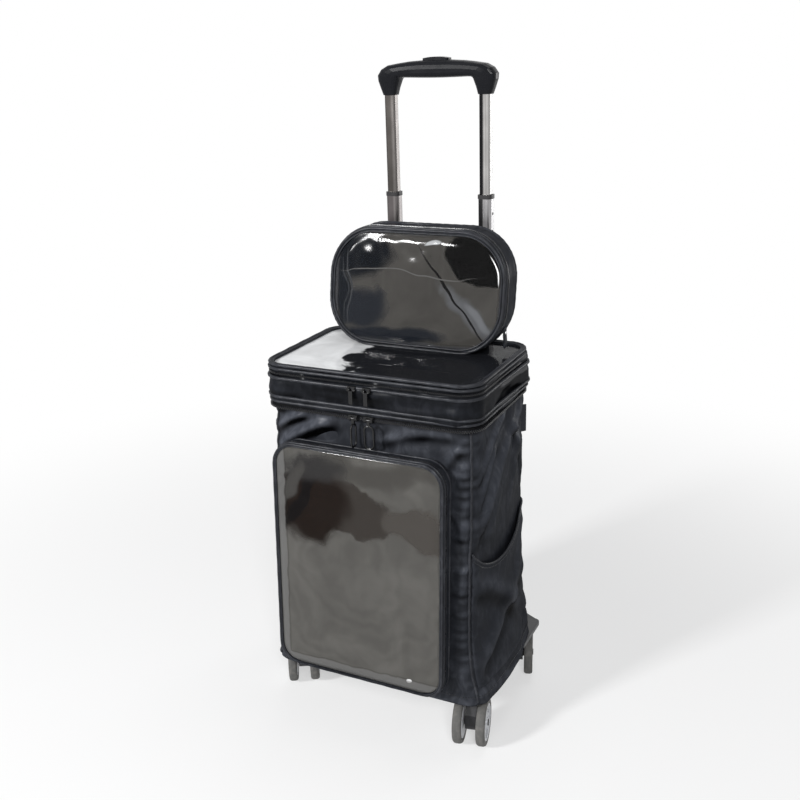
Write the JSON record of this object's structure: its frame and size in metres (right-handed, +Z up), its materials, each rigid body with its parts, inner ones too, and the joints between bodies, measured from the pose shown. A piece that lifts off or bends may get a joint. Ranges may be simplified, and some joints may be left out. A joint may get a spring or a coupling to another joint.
{
  "type": "spinner suitcase",
  "caption": "Soft trolley bag with clear windows on a swivel-caster tray, with a telescopic handle, a front pocket, a lid compartment and a matching pouch on top.",
  "frame": {"origin": "centre of the bounding box on the floor, under the wheels", "axes": "+X to the bag's right as seen from its front, +Y to its back, where the handle is, +Z up"},
  "size_m": [0.3169, 0.2715, 0.7904],
  "materials": {
    "base_plastic": "grained matte grey",
    "black_plastic": "satin black",
    "caster_plastic": "satin dark grey",
    "wheel": "matte grey tyre on a silver hub",
    "tube_metal": "anodised gunmetal",
    "steel": "bright",
    "bag_fabric": "black woven nylon",
    "frame_fabric": "black woven border with piping",
    "zip_tape": "black zip with fine teeth",
    "clear_window": "clear glossy vinyl",
    "slider_metal": "black enamel",
    "pull_plastic": "satin black"
  },
  "bodies": {
    "base": {"base_tray": "base_plastic", "tube_sockets": "black_plastic", "outer_tube_left": "tube_metal", "outer_tube_right": "tube_metal", "outer_collars": "black_plastic", "tube_loops": "bag_fabric", "caster_mounts": "caster_plastic", "body_front": "bag_fabric", "body_back": "bag_fabric", "body_left": "bag_fabric", "body_right": "bag_fabric", "body_floor": "bag_fabric", "side_pocket": "bag_fabric", "main_zip": "zip_tape", "seam_label": "bag_fabric", "pocket_gusset": "bag_fabric"},
    "middle_stage": {"middle_tube_left": "tube_metal", "middle_tube_right": "tube_metal", "middle_collars": "black_plastic", "middle_lock_plugs": "black_plastic"},
    "inner_stage": {"inner_tube_left": "tube_metal", "inner_tube_right": "tube_metal", "inner_lock_plugs": "black_plastic", "grip_lower": "black_plastic", "grip_cover": "black_plastic", "button_spring": "steel"},
    "button": {"push_button": "black_plastic", "release_yoke": "steel"},
    "caster_front_left": {"fork_front_left": "caster_plastic"},
    "wheel_front_left_a": {"wheel_front_left_a": "wheel"},
    "wheel_front_left_b": {"wheel_front_left_b": "wheel"},
    "caster_front_right": {"fork_front_right": "caster_plastic"},
    "wheel_front_right_a": {"wheel_front_right_a": "wheel"},
    "wheel_front_right_b": {"wheel_front_right_b": "wheel"},
    "caster_rear_left": {"fork_rear_left": "caster_plastic"},
    "wheel_rear_left_a": {"wheel_rear_left_a": "wheel"},
    "wheel_rear_left_b": {"wheel_rear_left_b": "wheel"},
    "caster_rear_right": {"fork_rear_right": "caster_plastic"},
    "wheel_rear_right_a": {"wheel_rear_right_a": "wheel"},
    "wheel_rear_right_b": {"wheel_rear_right_b": "wheel"},
    "pocket_flap": {"pocket_frame": "frame_fabric", "pocket_window": "clear_window"},
    "pouch": {"pouch_gusset": "bag_fabric", "pouch_back": "bag_fabric"},
    "lid": {"lid_floor": "bag_fabric", "lid_wall": "bag_fabric"},
    "lid_flap": {"lid_frame": "frame_fabric", "lid_window": "clear_window"},
    "pouch_flap": {"pouch_frame": "frame_fabric", "pouch_window": "clear_window"},
    "main_slider_left": {"main_slider_left": "slider_metal"},
    "main_pull_left": {"main_pull_left": "pull_plastic"},
    "lid_slider_left": {"lid_slider_left": "slider_metal"},
    "main_slider_right": {"main_slider_right": "slider_metal"},
    "main_pull_right": {"main_pull_right": "pull_plastic"},
    "lid_slider_right": {"lid_slider_right": "slider_metal"},
    "pouch_pull": {"pouch_pull": "pull_plastic"}
  },
  "joints": [
    {"name": "middle_slide", "type": "slide", "parent": "base", "child": "middle_stage", "axis": [0, 0, -1], "range_m": [0, 0.168]},
    {"name": "inner_slide", "type": "slide", "parent": "middle_stage", "child": "inner_stage", "axis": [0, 0, -1], "range_m": [0, 0.117]},
    {"name": "button_press", "type": "slide", "parent": "inner_stage", "child": "button", "axis": [0, 0, -1], "range_m": [0, 0.003], "stiffness_N_per_m": 600, "springref_m": -0.003, "deforming": ["button_spring"]},
    {"name": "swivel_front_left", "type": "hinge", "parent": "base", "child": "caster_front_left", "pos_m": [-0.122, -0.07824, 0.06], "axis": [0, 0, 1], "continuous": true},
    {"name": "roll_front_left_a", "type": "hinge", "parent": "caster_front_left", "child": "wheel_front_left_a", "pos_m": [-0.11866, -0.05552, 0.029], "axis": [-0.866, -0.5, 0], "continuous": true},
    {"name": "roll_front_left_b", "type": "hinge", "parent": "caster_front_left", "child": "wheel_front_left_b", "pos_m": [-0.14334, -0.06978, 0.029], "axis": [-0.866, -0.5, 0], "continuous": true},
    {"name": "swivel_front_right", "type": "hinge", "parent": "base", "child": "caster_front_right", "pos_m": [0.122, -0.07824, 0.06], "axis": [0, 0, 1], "continuous": true},
    {"name": "roll_front_right_a", "type": "hinge", "parent": "caster_front_right", "child": "wheel_front_right_a", "pos_m": [0.1118, -0.09881, 0.029], "axis": [0.9781, 0.2079, 0], "continuous": true},
    {"name": "roll_front_right_b", "type": "hinge", "parent": "caster_front_right", "child": "wheel_front_right_b", "pos_m": [0.13968, -0.09288, 0.029], "axis": [0.9781, 0.2079, 0], "continuous": true},
    {"name": "swivel_rear_left", "type": "hinge", "parent": "base", "child": "caster_rear_left", "pos_m": [-0.122, 0.08276, 0.06], "axis": [0, 0, 1], "continuous": true},
    {"name": "roll_rear_left_a", "type": "hinge", "parent": "caster_rear_left", "child": "wheel_rear_left_a", "pos_m": [-0.13862, 0.06692, 0.029], "axis": [0.9903, -0.1392, 0], "continuous": true},
    {"name": "roll_rear_left_b", "type": "hinge", "parent": "caster_rear_left", "child": "wheel_rear_left_b", "pos_m": [-0.11039, 0.06295, 0.029], "axis": [0.9903, -0.1392, 0], "continuous": true},
    {"name": "swivel_rear_right", "type": "hinge", "parent": "base", "child": "caster_rear_right", "pos_m": [0.122, 0.08276, 0.06], "axis": [0, 0, 1], "continuous": true},
    {"name": "roll_rear_right_a", "type": "hinge", "parent": "caster_rear_right", "child": "wheel_rear_right_a", "pos_m": [0.11401, 0.06124, 0.029], "axis": [0.9511, 0.309, 0], "continuous": true},
    {"name": "roll_rear_right_b", "type": "hinge", "parent": "caster_rear_right", "child": "wheel_rear_right_b", "pos_m": [0.14111, 0.07005, 0.029], "axis": [0.9511, 0.309, 0], "continuous": true},
    {"name": "pocket_flap_open", "type": "hinge", "parent": "base", "child": "pocket_flap", "pos_m": [-0.007, -0.13173, 0.07701], "axis": [1, 0, 0], "range_deg": [0, 85]},
    {"name": "pouch_lift", "type": "slide", "parent": "base", "child": "pouch", "axis": [0, -0.5, 0.866], "range_m": [0, 0.3]},
    {"name": "lid_open", "type": "hinge", "parent": "base", "child": "lid", "pos_m": [0, 0.08176, 0.4063], "axis": [-1, 0, 0], "range_deg": [0, 22]},
    {"name": "lid_flap_open", "type": "hinge", "parent": "lid", "child": "lid_flap", "pos_m": [0, 0.08176, 0.4538], "axis": [-1, 0, 0], "range_deg": [0, 60]},
    {"name": "pouch_flap_open", "type": "hinge", "parent": "pouch", "child": "pouch_flap", "pos_m": [0.007, 0.01392, 0.4593], "axis": [1, 0, 0], "range_deg": [0, 70]},
    {"name": "main_zip_left", "type": "slide", "parent": "base", "child": "main_slider_left", "axis": [-1, 0, 0], "range_m": [0, 0.09]},
    {"name": "main_pull_swing_left", "type": "hinge", "parent": "main_slider_left", "child": "main_pull_left", "pos_m": [-0.013, -0.10674, 0.405], "axis": [-1, 0, 0], "range_deg": [0, 75]},
    {"name": "lid_zip_left", "type": "slide", "parent": "lid", "child": "lid_slider_left", "axis": [-1, 0, 0], "range_m": [0, 0.08]},
    {"name": "main_zip_right", "type": "slide", "parent": "base", "child": "main_slider_right", "axis": [1, 0, 0], "range_m": [0, 0.09]},
    {"name": "main_pull_swing_right", "type": "hinge", "parent": "main_slider_right", "child": "main_pull_right", "pos_m": [0.007, -0.10674, 0.405], "axis": [-1, 0, 0], "range_deg": [0, 75]},
    {"name": "lid_zip_right", "type": "slide", "parent": "lid", "child": "lid_slider_right", "axis": [1, 0, 0], "range_m": [0, 0.08]},
    {"name": "pouch_pull_swing", "type": "hinge", "parent": "pouch", "child": "pouch_pull", "pos_m": [0.11665, 0.0364, 0.4873], "axis": [0, -1, 0], "range_deg": [0, 60]}
  ],
  "couplings": [
    {"joint": "lid_open", "follows": "pouch_lift", "rad_per_m": 1.2794},
    {"joint": "lid_flap_open", "follows": "pouch_lift", "rad_per_m": 3.4902}
  ]
}
